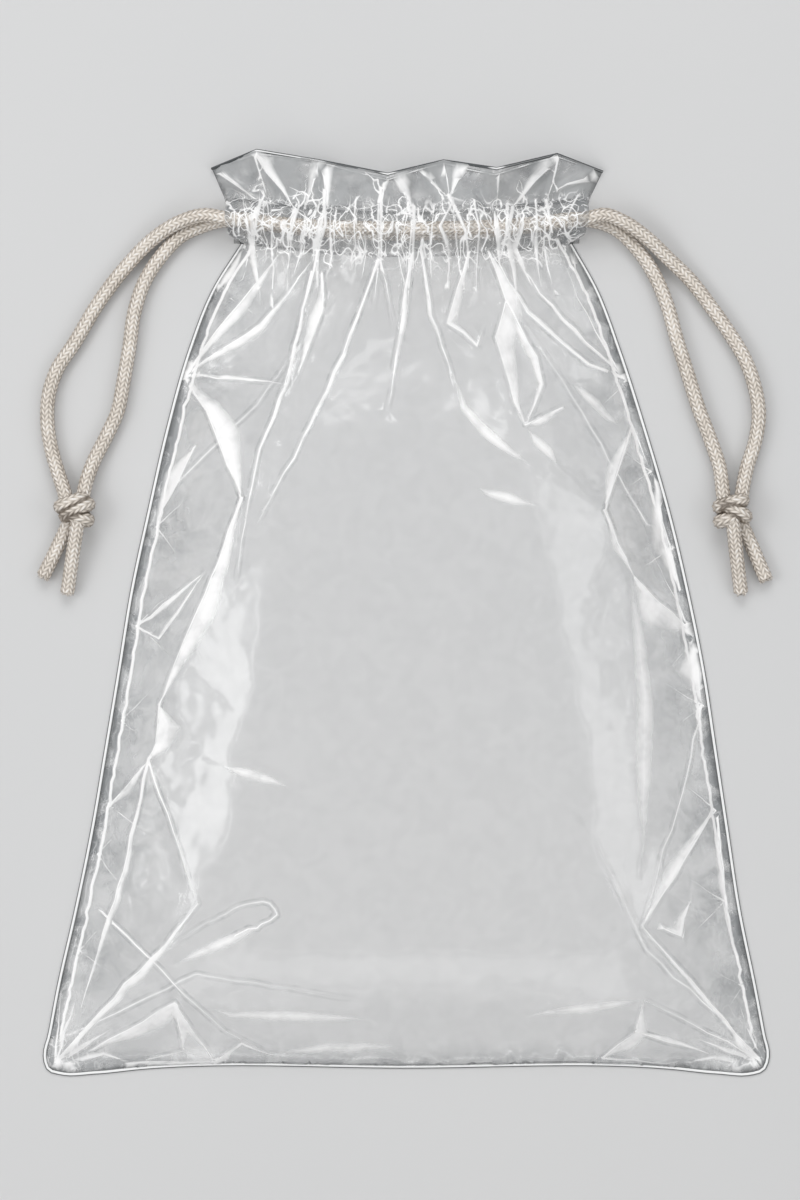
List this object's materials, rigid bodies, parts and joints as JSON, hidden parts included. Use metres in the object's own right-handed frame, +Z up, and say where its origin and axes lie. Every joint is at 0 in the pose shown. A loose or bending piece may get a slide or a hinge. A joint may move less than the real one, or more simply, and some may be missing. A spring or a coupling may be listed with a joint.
{
  "type": "drawstring plastic bag",
  "caption": "Clear plastic film bag lying on its back, its neck gathered by braided drawstrings that run in welded channels and are knotted together at each side.",
  "frame": {"origin": "On the surface that the bag lies on, under the middle of the film.", "axes": "+X across the bag, +Y from the bottom fold to the mouth, +Z up out of the front panel."},
  "size_m": [0.2446, 0.3058, 0.0333],
  "materials": {
    "film": "clear gloss",
    "cord": "satin braid"
  },
  "bodies": {
    "root": {"bag_film": "film", "front_cord": "cord", "back_cord": "cord", "left_knot": "cord", "right_knot": "cord", "left_front_tail": "cord", "left_back_tail": "cord", "right_front_tail": "cord", "right_back_tail": "cord"}
  },
  "joints": []
}
